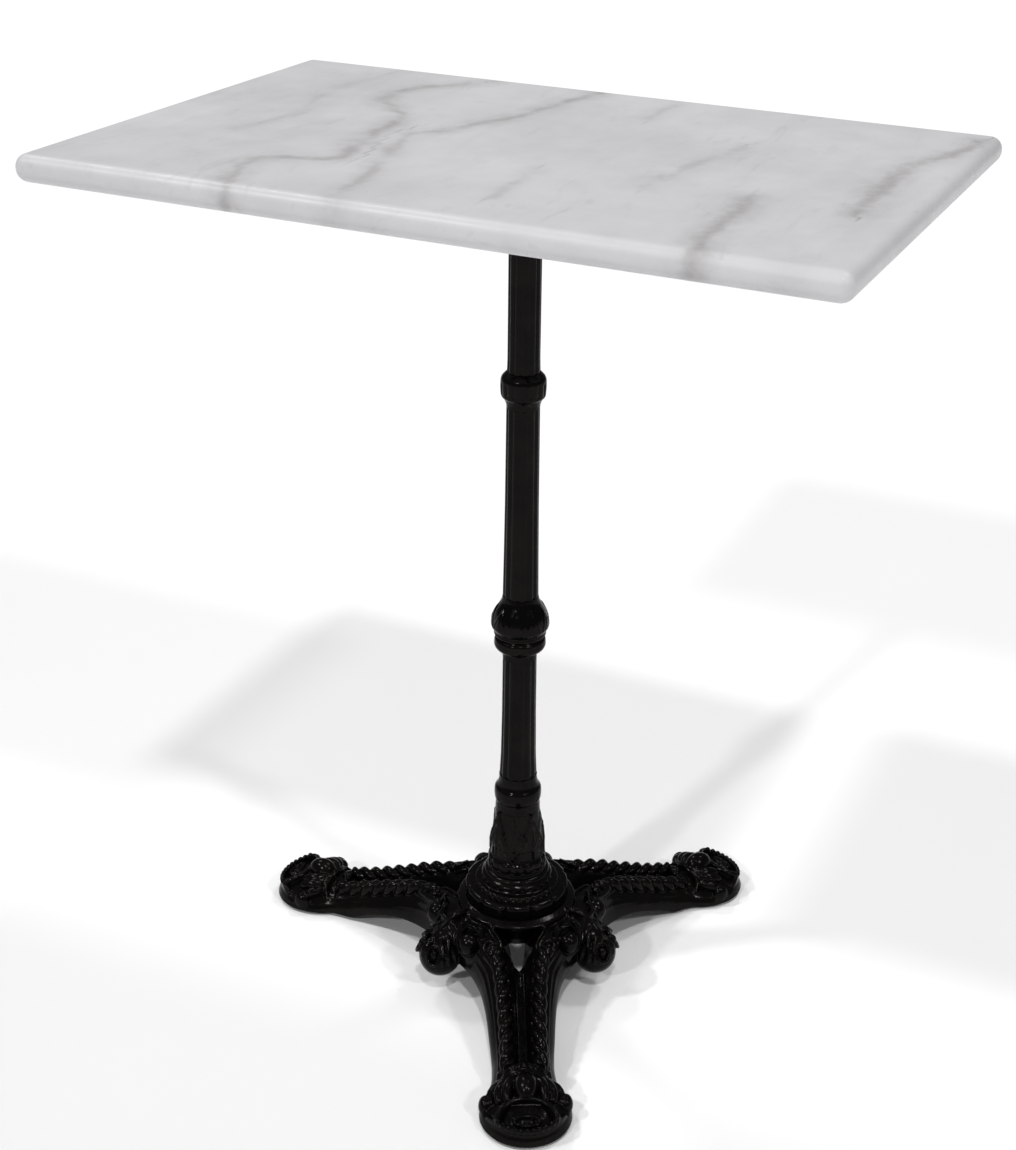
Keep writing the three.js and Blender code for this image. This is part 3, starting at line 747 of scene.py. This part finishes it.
def bracket_hub(x, y, z):
    """The boss in the middle, a cone that widens towards the plate."""
    radius = np.hypot(x, y)
    bottom = BRACKET_BOTTOM + GAP
    outer = np.interp(z, (bottom, 671, 680, 688), (19, 22, 24, 30))
    return np.maximum((radius - outer) * 0.9, np.maximum(bottom - z, z - BRACKET_TOP))


def bracket_arm(x, y, z):
    """A tapering bar with a round tip, and a deep rib under it that runs out before the screw."""
    half = np.interp(x, (0, BRACKET_REACH), (ARM_ROOT, ARM_TIP))
    tip = np.hypot(x - BRACKET_REACH, y) - ARM_TIP
    outline = np.where(x > BRACKET_REACH, tip, np.abs(y) - half)
    plate = smooth_max(outline, np.maximum(BRACKET_TOP - BRACKET_PLATE - z, z - BRACKET_TOP), 1.5)
    bottom = np.interp(x, (20, BRACKET_REACH - 22, BRACKET_REACH - RIB_STOP), (676, 689, 692.5))
    ends = np.maximum(bottom - z, np.maximum(z - 693, x - BRACKET_REACH + RIB_STOP))
    rib = smooth_max(np.abs(y) - RIB_HALF, ends, 1.0)
    return smooth_min(plate, rib, 2.5)


def bracket_bores(x, y, z):
    """From below: the socket for the shaft's spigot, the rod's bore, the pocket for its nut."""
    lower = np.where(z < SPIGOT_SOCKET_TOP, SPIGOT_SOCKET_RADIUS, BORE)
    return np.hypot(x, y) - np.where(z > NUT_POCKET_BOTTOM, NUT_POCKET_RADIUS, lower)


def screw_hole(x, y, z):
    return np.hypot(x - BRACKET_REACH, y) - SCREW_HOLE_RADIUS


def model_bracket():
    clay = Clay((-180, -120, 666), (180, 120, 700), BRACKET_CELL)
    clay.add(bracket_hub, ((-30, -30, 668), (30, 30, 698)), 1.0)
    arm_box = ((0, -ARM_ROOT, 676), (BRACKET_REACH + ARM_TIP, ARM_ROOT, 698))
    clay.add(bracket_arm, arm_box, 2.5, BRACKET_ANGLES)
    clay.cut(bracket_bores, ((-14, -14, 666), (14, 14, 700)), 0.4)
    hole_box = ((BRACKET_REACH - 4, -4, 680), (BRACKET_REACH + 4, 4, 700))
    clay.cut(screw_hole, hole_box, 0.4, BRACKET_ANGLES)
    finish_piece(clay.skin("top_bracket_cast"), "top_bracket", "enamel")


def hexagon(across_corners, low, high, inner=0, outer=np.inf):
    """Trims skin to a hexagon between two heights, where its radius is from inner to outer."""
    def relief(angle, height, radius):
        flat = across_corners / 2 * cos(pi / 6)
        side = flat / np.cos((angle + pi / 6) % (pi / 3) - pi / 6)
        trimmed = (height >= low) & (height <= high) & (radius > inner) & (radius < outer)
        return np.where(trimmed, np.minimum(side - radius, 0), 0)
    return relief


def thread(low, high, pitch, depth, inner=0):
    """Screw thread between two heights, on skin beyond the radius `inner`."""
    def relief(angle, height, radius):
        wave = np.abs(2 * ((height / pitch - angle / (2 * pi)) % 1) - 1)
        return -depth * wave * between(height, low, high, 0.5) * (radius > inner)
    return relief


def knurl(count, depth, inner):
    """Rounded ridges on the outside of a sleeve, on skin beyond the radius `inner`."""
    def relief(angle, height, radius):
        return -depth * np.abs(np.cos(count / 2 * angle)) * (radius > inner)
    return relief


def rows(radius, low, high, step):
    """Outline points up a straight side, close enough together for a thread or a knurl."""
    return [(radius, z) for z in np.arange(low, high + step / 2, step)]


def top_screw(name, place):
    """A cap screw: the hexagon socket in its head, the head and the threaded shank."""
    outline = [(2.1, 689.1), (2.3, 687.6), (5.3, 687.6), (6, 688.3), (6, 690.6), (5.6, 691.1), (3.1, 691.1),
               *rows(3, 691.6, 708.8, 0.3), (2.3, 710)]
    relief = together(hexagon(4.6, 687.6, 689.1, outer=2.5), thread(692, 709, 1.0, 0.35))
    turned_piece(f"top_screw_{name}", outline, 36, relief, "steel", place, True)


def threaded_insert(name, place):
    """A knurled brass sleeve, closed at its upper end."""
    outline = [(3.3, 711), (3.3, 700.2), (3.5, 700), (4.8, 700), *rows(5.1, 700.4, 712, 1.2), (4.7, 712.5)]
    turned_piece(f"threaded_insert_{name}", outline, 60, knurl(20, 0.3, 4.7), "brass", place, True)


def rubber_buffer(name, place):
    outline = [(3.6, 698), (3.9, 697.7), (9.4, 697.7), (9.9, 698), (10, 698.7), (9.9, 699.4),
               (9.4, 699.7), (3.9, 699.7), (3.6, 699.4)]
    turned_piece(f"rubber_buffer_{name}", outline, 48, None, "rubber", place)


def model_fixings():
    """A screw, an insert and a buffer at the end of each arm of the bracket."""
    for name, angle in zip(FIXING_NAMES, BRACKET_ANGLES):
        place = around_axis(BRACKET_REACH, angle)
        top_screw(name, place)
        threaded_insert(name, place)
        rubber_buffer(name, place)


def tie_rod():
    """The rod through the column, threaded at both ends."""
    outline = [(5.2, 36), *rows(6, 36.8, 62, 0.4), (6, 360), *rows(6, 672, 695.2, 0.4), (5.2, 696)]
    threads = together(thread(37, 62, 1.75, 0.5), thread(672, 695, 1.75, 0.5))
    turned_piece("tie_rod", outline, 32, threads, "steel", capped=True, finish="threaded")


def washer(node, low):
    outline = [(6.3, low + 0.2), (6.6, low), (11.7, low), (12, low + 0.4), (12, low + 2.2),
               (11.7, low + 2.5), (6.6, low + 2.5), (6.3, low + 2.3)]
    turned_piece(node, outline, 64, None, "steel")


def nut(node, low):
    """A hexagon nut with chamfered faces."""
    outline = [(6.3, low + 0.8), (7, low), (9.4, low), (10.9, low + 1.1), (10.9, low + 8.9),
               (9.4, low + 10), (7, low + 10), (6.3, low + 9.2)]
    turned_piece(node, outline, 96, hexagon(21.8, low, low + 10, 9), "steel")


def model_clamp():
    """The tie rod, with a washer and a nut at each end of it."""
    tie_rod()
    washer("upper_washer", 681.3)
    nut("upper_nut", 684.1)
    washer("lower_washer", 45.2)
    nut("lower_nut", 34.9)


def model_glides():
    """Under each foot: a soft pad that stands on the floor and the screw that lifts the foot."""
    pad = [(14.4, 0), (15.3, 0.25), (16, 1), (16, 2.2), (15.7, 2.9), (15, 3.2), (8, 3.2), (7.5, 2.9),
           (7.4, 1.2)]
    stud = [(6.7, 1.5), (7, 1.8), (7, 2.6), (6.7, 2.9), (4, 2.9), *rows(4, 3.3, 15, 0.3), (3, 16)]
    screw = thread(3.4, 15.2, 1.25, 0.4, 3.5)
    for name, angle in zip(LEG_NAMES, LEG_ANGLES):
        place = around_axis(GLIDE_CENTRE, angle)
        turned_piece(f"glide_pad_{name}", pad, 64, None, "nylon", place, True, f"pad_{name}")
        turned_piece(f"glide_stud_{name}", stud, 36, screw, "steel", place, True, f"stud_{name}")


# ---- marble top ----
TOP_HALF = (300, 200, 10)
TOP_MIDDLE = 710
TOP_ROUND = 9.5
TOP_EDGE = 10
TOP_GRID = 4
VEIN_REACH = 24
VEIN_FADE = 8
VEINS = (
    # points on the top, strength 0 to 1, half width
    (((-117, 184), (-160, 130), (-163, 82), (-120, 34), (-110, -39), (-98, -97), (-124, -115), (-147, -126),
      (-134, -181), (-117, -226)), 0.8, 2.6),
    (((-20, 200), (-32, 144), (-44, 84), (-68, 21), (-88, -12)), 0.75, 2.4),
    (((-88, -12), (-71, -82), (-55, -137), (-47, -200)), 0.55, 2.4),
    (((290, 175), (276, 109), (261, 78), (258, 35), (261, -21), (265, -66)), 0.85, 2.8),
    (((190, -60), (196, -119), (196, -160), (203, -215)), 0.8, 3.0),
    (((140, 68), (132, 20), (122, -18), (120, -71)), 0.45, 2.6),
    (((45, 185), (46, 120)), 0.4, 2.2),
    (((36, -65), (40, -115), (41, -145)), 0.4, 2.2),
    (((-205, 190), (-214, 90), (-196, 10), (-205, -60)), 0.25, 3.0),
)


def grid_line(half):
    """Grid positions from -half to half, closer together over the rounded edges."""
    flat = half - TOP_EDGE
    fine = np.linspace(flat, half, 6)[1:]
    count = int(round(2 * flat / TOP_GRID))
    return np.concatenate([-fine[::-1], np.linspace(-flat, flat, count + 1), fine])


def vein_fields(points):
    """Signed distance to the nearest vein in half widths, and that vein's strength there."""
    nearest = np.full(len(points), 1e3)
    offset = np.full(len(points), 1e3)
    strength = np.zeros(len(points))
    for path, power, width in VEINS:
        line = curve_through(path, 12)
        for a, b in zip(line, line[1:]):
            d = b - a
            t = ((points[:, :2] - a) @ d) / (d @ d)
            clamped = np.clip(t, 0, 1)
            gap = points[:, :2] - a - clamped[:, None] * d
            far = np.linalg.norm(gap, axis=1)
            side = np.sign(gap[:, 0] * d[1] - gap[:, 1] * d[0] + 1e-9)
            closer = far < nearest
            nearest[closer] = far[closer]
            offset[closer] = (far * side / width)[closer]
            strength[closer] = (power * np.clip((VEIN_REACH - far) / VEIN_FADE, 0, 1))[closer]
    return offset, strength


def model_top():
    """A slab with fully rounded edges, gridded so that the veins can be laid on it."""
    xs, ys = grid_line(TOP_HALF[0]), grid_line(TOP_HALF[1])
    zs = np.linspace(-TOP_HALF[2], TOP_HALF[2], 9)
    numbers = {}
    points, faces = [], []

    def corner(p):
        """The number of the point that a point of the plain box becomes on the rounded slab."""
        key = tuple(np.round(p, 4))
        if key not in numbers:
            numbers[key] = len(points)
            inner = np.clip(p, [TOP_ROUND - h for h in TOP_HALF], [h - TOP_ROUND for h in TOP_HALF])
            out = np.asarray(p) - inner
            points.append(inner + TOP_ROUND * out / np.linalg.norm(out) + (0, 0, TOP_MIDDLE))
        return numbers[key]

    def sheet(us, vs, place, flip):
        """One side of the box as a grid of quads."""
        for u0, u1 in zip(us, us[1:]):
            for v0, v1 in zip(vs, vs[1:]):
                around = ((u0, v0), (u1, v0), (u1, v1), (u0, v1))
                quad = [corner(place(u, v)) for u, v in around]
                faces.append(quad[::-1] if flip else quad)

    hx, hy, hz = TOP_HALF
    for sign in (1, -1):
        sheet(xs, ys, lambda u, v: (u, v, sign * hz), sign < 0)
        sheet(ys, zs, lambda u, v: (sign * hx, u, v), sign < 0)
        sheet(zs, xs, lambda u, v: (v, sign * hy, u), sign < 0)
    slab = new_object("marble_top_slab", points, faces)
    offset, strength = vein_fields(np.array(points))
    for name, values in (("vein_offset", offset), ("vein_strength", strength)):
        layer = slab.data.attributes.new(name, "FLOAT", "POINT")
        layer.data.foreach_set("value", values.astype(np.float32))
    finish_piece(slab, "marble_top", "marble")


# ---- materials ----

class Nodes:
    """Short names for building one material's node tree."""

    def __init__(self, name):
        self.material = bpy.data.materials.new(name)
        self.material.use_nodes = True
        self.tree = self.material.node_tree
        self.shader = self.tree.nodes["Principled BSDF"]
        self.where = self.tree.nodes.new("ShaderNodeTexCoord").outputs["Object"]

    def node(self, kind, **values):
        made = self.tree.nodes.new(kind)
        for key, value in values.items():
            setattr(made, key, value)
        return made

    def link(self, a, b):
        self.tree.links.new(a, b)

    def set(self, **values):
        for key, value in values.items():
            self.shader.inputs[key.replace("_", " ")].default_value = value

    def stretch(self, scale, turn=0):
        """The object's own coordinates, scaled and turned about Z."""
        mapping = self.node("ShaderNodeMapping")
        mapping.inputs["Scale"].default_value = scale
        mapping.inputs["Rotation"].default_value = (0, 0, radians(turn))
        self.link(self.where, mapping.inputs["Vector"])
        return mapping.outputs["Vector"]

    def noise(self, scale, detail=4, rough=0.55, warp=0, vector=None):
        made = self.node("ShaderNodeTexNoise")
        made.inputs["Scale"].default_value = scale
        made.inputs["Detail"].default_value = detail
        made.inputs["Roughness"].default_value = rough
        made.inputs["Distortion"].default_value = warp
        self.link(vector or self.where, made.inputs["Vector"])
        return made.outputs["Fac"]

    def math(self, kind, a, b=0.0, c=0.0):
        made = self.node("ShaderNodeMath", operation=kind)
        for socket, value in zip(made.inputs, (a, b, c)):
            if hasattr(value, "is_linked"):
                self.link(value, socket)
            else:
                socket.default_value = value
        return made.outputs[0]

    def ramp(self, value, low, high, out_low=0.0, out_high=1.0):
        """Maps low..high to out_low..out_high, smoothly and clamped."""
        made = self.node("ShaderNodeMapRange", interpolation_type="SMOOTHSTEP")
        for key, number in zip(("From Min", "From Max", "To Min", "To Max"), (low, high, out_low, out_high)):
            made.inputs[key].default_value = number
        self.link(value, made.inputs["Value"])
        return made.outputs["Result"]

    def mix(self, amount, a, b):
        """Mixes two colours, each a socket or an (r, g, b)."""
        made = self.node("ShaderNodeMix", data_type="RGBA")
        self.link(amount, made.inputs["Factor"])
        for socket, value in zip((made.inputs["A"], made.inputs["B"]), (a, b)):
            if isinstance(value, tuple):
                socket.default_value = (*value, 1)
            else:
                self.link(value, socket)
        return made.outputs["Result"]

    def bump(self, height, strength, distance, before=None):
        made = self.node("ShaderNodeBump")
        made.inputs["Strength"].default_value = strength
        made.inputs["Distance"].default_value = distance
        self.link(height, made.inputs["Height"])
        if before is not None:
            self.link(before, made.inputs["Normal"])
        return made.outputs["Normal"]

    def use(self, **sockets):
        for key, socket in sockets.items():
            self.link(socket, self.shader.inputs[key.replace("_", " ")])
        return self.material


def enamel_material():
    """Thick glossy black enamel over sand-cast iron: slight orange peel, dull dust in patches."""
    n = Nodes("black_enamel")
    n.set(Metallic=0.78, Specular_IOR_Level=0.1, Specular_Tint=(0.6, 0.6, 0.6, 1))
    patches = n.noise(38, 5, 0.6)
    colour = n.mix(n.ramp(patches, 0.35, 0.7), (0.0074, 0.0069, 0.0067), (0.0102, 0.0094, 0.0086))
    dull = n.ramp(n.noise(90, 4, 0.6), 0.35, 0.75, 0.13, 0.24)
    peel = n.bump(n.noise(260, 2, 0.5), 0.25, 0.0006)
    sand = n.bump(n.noise(1500, 3, 0.6), 0.12, 0.0002, peel)
    return n.use(Base_Color=colour, Roughness=dull, Normal=sand)


def marble_material():
    """Polished white marble with grey veins, soft bands across and a few darker flecks."""
    n = Nodes("white_marble")
    n.set(Metallic=0.0, Specular_IOR_Level=0.4)
    offset = n.node("ShaderNodeAttribute", attribute_name="vein_offset").outputs["Fac"]
    strength = n.node("ShaderNodeAttribute", attribute_name="vein_strength").outputs["Fac"]
    sway = n.math("MULTIPLY_ADD", n.noise(28, 3, 0.6), 7.0, -3.5)
    jag = n.math("MULTIPLY_ADD", n.noise(90, 3, 0.65), 2.4, -1.2)
    line = n.math("ABSOLUTE", n.math("ADD", offset, n.math("ADD", sway, jag)))
    broken = n.ramp(n.noise(24, 4, 0.7), 0.36, 0.6, 0.15, 1.0)
    smear = n.ramp(n.noise(40, 5, 0.65), 0.35, 0.65, 0.35, 1.0)
    core = n.math("MULTIPLY", n.ramp(line, 0.0, 3.2, 0.52, 0.0), n.math("MULTIPLY", strength, broken))
    halo = n.math("MULTIPLY", n.ramp(line, 0.3, 9.0, 0.55, 0.0), n.math("MULTIPLY", strength, smear))
    bands = n.ramp(n.noise(1, 5, 0.6, 0.8, n.stretch((15, 4, 15), 12)), 0.46, 0.75, 0.0, 0.35)
    wisps = n.ramp(n.noise(1, 6, 0.65, 1.2, n.stretch((60, 16, 60), -8)), 0.56, 0.72, 0.0, 0.3)
    clouds = n.noise(7, 5, 0.6)
    stone = n.mix(n.ramp(clouds, 0.3, 0.7), (0.575, 0.57, 0.585), (0.64, 0.632, 0.65))
    stone = n.mix(bands, stone, (0.50, 0.495, 0.51))
    stone = n.mix(wisps, stone, (0.43, 0.425, 0.435))
    stone = n.mix(halo, stone, (0.37, 0.36, 0.355))
    stone = n.mix(core, stone, (0.25, 0.235, 0.225))
    grain = n.bump(n.noise(900, 3, 0.6), 0.05, 0.0001)
    polish = n.ramp(n.noise(30, 4, 0.6), 0.3, 0.7, 0.36, 0.46)
    return n.use(Base_Color=stone, Roughness=polish, Normal=grain)


def metal_material(name, light, dark, roughness, scale):
    """Machined metal with fine turning marks, darker in patches."""
    n = Nodes(name)
    n.set(Metallic=1.0)
    stain = n.ramp(n.noise(scale, 5, 0.6), 0.35, 0.75)
    marks = n.bump(n.noise(1, 2, 0.5, 0, n.stretch((200, 200, 5000))), 0.15, 0.0001)
    dull = n.ramp(stain, 0.0, 1.0, roughness, roughness + 0.2)
    return n.use(Base_Color=n.mix(stain, light, dark), Roughness=dull, Normal=marks)


def soft_material(name, light, dark, roughness):
    """Moulded rubber or nylon: matt, faintly mottled, with a fine grain."""
    n = Nodes(name)
    n.set(Metallic=0.0)
    mottle = n.ramp(n.noise(120, 4, 0.6), 0.3, 0.7)
    dull = n.ramp(n.noise(300, 3, 0.6), 0.3, 0.7, roughness - 0.08, roughness + 0.08)
    grain = n.bump(n.noise(2500, 2), 0.2, 0.0001)
    return n.use(Base_Color=n.mix(mottle, light, dark), Roughness=dull, Normal=grain)


MATERIALS = {
    "enamel": enamel_material(),
    "marble": marble_material(),
    "steel": metal_material("zinc_plated_steel", (0.62, 0.63, 0.65), (0.40, 0.40, 0.41), 0.28, 160),
    "brass": metal_material("brass", (0.72, 0.53, 0.25), (0.45, 0.30, 0.13), 0.3, 200),
    "rubber": soft_material("black_rubber", (0.018, 0.018, 0.019), (0.035, 0.034, 0.033), 0.8),
    "nylon": soft_material("white_nylon", (0.74, 0.73, 0.69), (0.62, 0.61, 0.57), 0.5),
}


# ---- light, floor, camera ----
# The camera stands at a place in metres; it looks right of +Y by its yaw and down by its pitch.
CAMERA_PLACE = (0.5687, -1.2265, 1.0353)
CAMERA_YAW_PITCH_ROLL = (-24.08, 26.93, 1.17)
CAMERA_LENS = 58.98
CAMERA_SENSOR = 36
CAMERA_SHIFT = (-0.0311, 0.0284)


def place_camera():
    data = bpy.data.cameras.new("camera")
    data.lens = CAMERA_LENS
    data.sensor_width = CAMERA_SENSOR
    data.shift_x, data.shift_y = CAMERA_SHIFT
    camera = bpy.data.objects.new("camera", data)
    bpy.context.scene.collection.objects.link(camera)
    yaw, pitch, roll = map(radians, CAMERA_YAW_PITCH_ROLL)
    look = Vector((sin(yaw) * cos(pitch), cos(yaw) * cos(pitch), -sin(pitch)))
    level = Vector((cos(yaw), -sin(yaw), 0))
    up = level.cross(look)
    right = cos(roll) * level + sin(roll) * up
    up = right.cross(look)
    camera.matrix_world = Matrix((right, up, -look)).transposed().to_4x4()
    camera.location = CAMERA_PLACE
    bpy.context.scene.camera = camera


FLOOR_HALF = 6000
ROOM_LIGHT = 0.22
SUNS = (
    # azimuth that the light comes from, its height, strength, angular size
    (-145, 50, 0.80, 4),
    (-100, 36, 0.65, 3),
    (-60, 62, 0.75, 4),
    (-20, 42, 0.50, 4),
    (60, 62, 0.50, 8),
    (150, 50, 0.45, 8),
)


def studio():
    """A dim room, so that the enamel stays black, lit by six soft round lamps. The backdrop that
    shows behind the floor is as white as the floor."""
    world = bpy.data.worlds.new("studio")
    world.use_nodes = True
    tree = world.node_tree
    room = tree.nodes["Background"]
    room.inputs["Color"].default_value = (1, 1, 1, 1)
    room.inputs["Strength"].default_value = ROOM_LIGHT
    backdrop = tree.nodes.new("ShaderNodeBackground")
    backdrop.inputs["Color"].default_value = (1, 1, 1, 1)
    choice = tree.nodes.new("ShaderNodeMixShader")
    tree.links.new(tree.nodes.new("ShaderNodeLightPath").outputs["Is Camera Ray"], choice.inputs[0])
    tree.links.new(room.outputs[0], choice.inputs[1])
    tree.links.new(backdrop.outputs[0], choice.inputs[2])
    tree.links.new(choice.outputs[0], tree.nodes["World Output"].inputs["Surface"])
    bpy.context.scene.world = world
    bpy.context.scene.view_settings.view_transform = "Standard"
    for azimuth, height, strength, size in SUNS:
        data = bpy.data.lights.new("lamp", "SUN")
        data.energy = strength
        data.angle = radians(size)
        lamp = bpy.data.objects.new("lamp", data)
        bpy.context.scene.collection.objects.link(lamp)
        a, h = radians(azimuth), radians(height)
        source = Vector((cos(h) * cos(a), cos(h) * sin(a), sin(h)))
        lamp.rotation_euler = source.to_track_quat("Z", "Y").to_euler()


def floor():
    """A wide white floor, which isn't part of the table."""
    h = FLOOR_HALF
    made = new_object("floor", [(-h, -h, 0), (h, -h, 0), (h, h, 0), (-h, h, 0)], [(0, 1, 2, 3)])
    n = Nodes("pale_floor")
    n.set(Roughness=0.9)
    tone = n.mix(n.noise(3, 3), (0.94, 0.94, 0.94), (0.96, 0.96, 0.96))
    made.data.materials.append(n.use(Base_Color=tone))


place_camera()
studio()
floor()
model_top()
model_fixings()
model_bracket()
model_column()
model_clamp()
model_glides()
model_base()
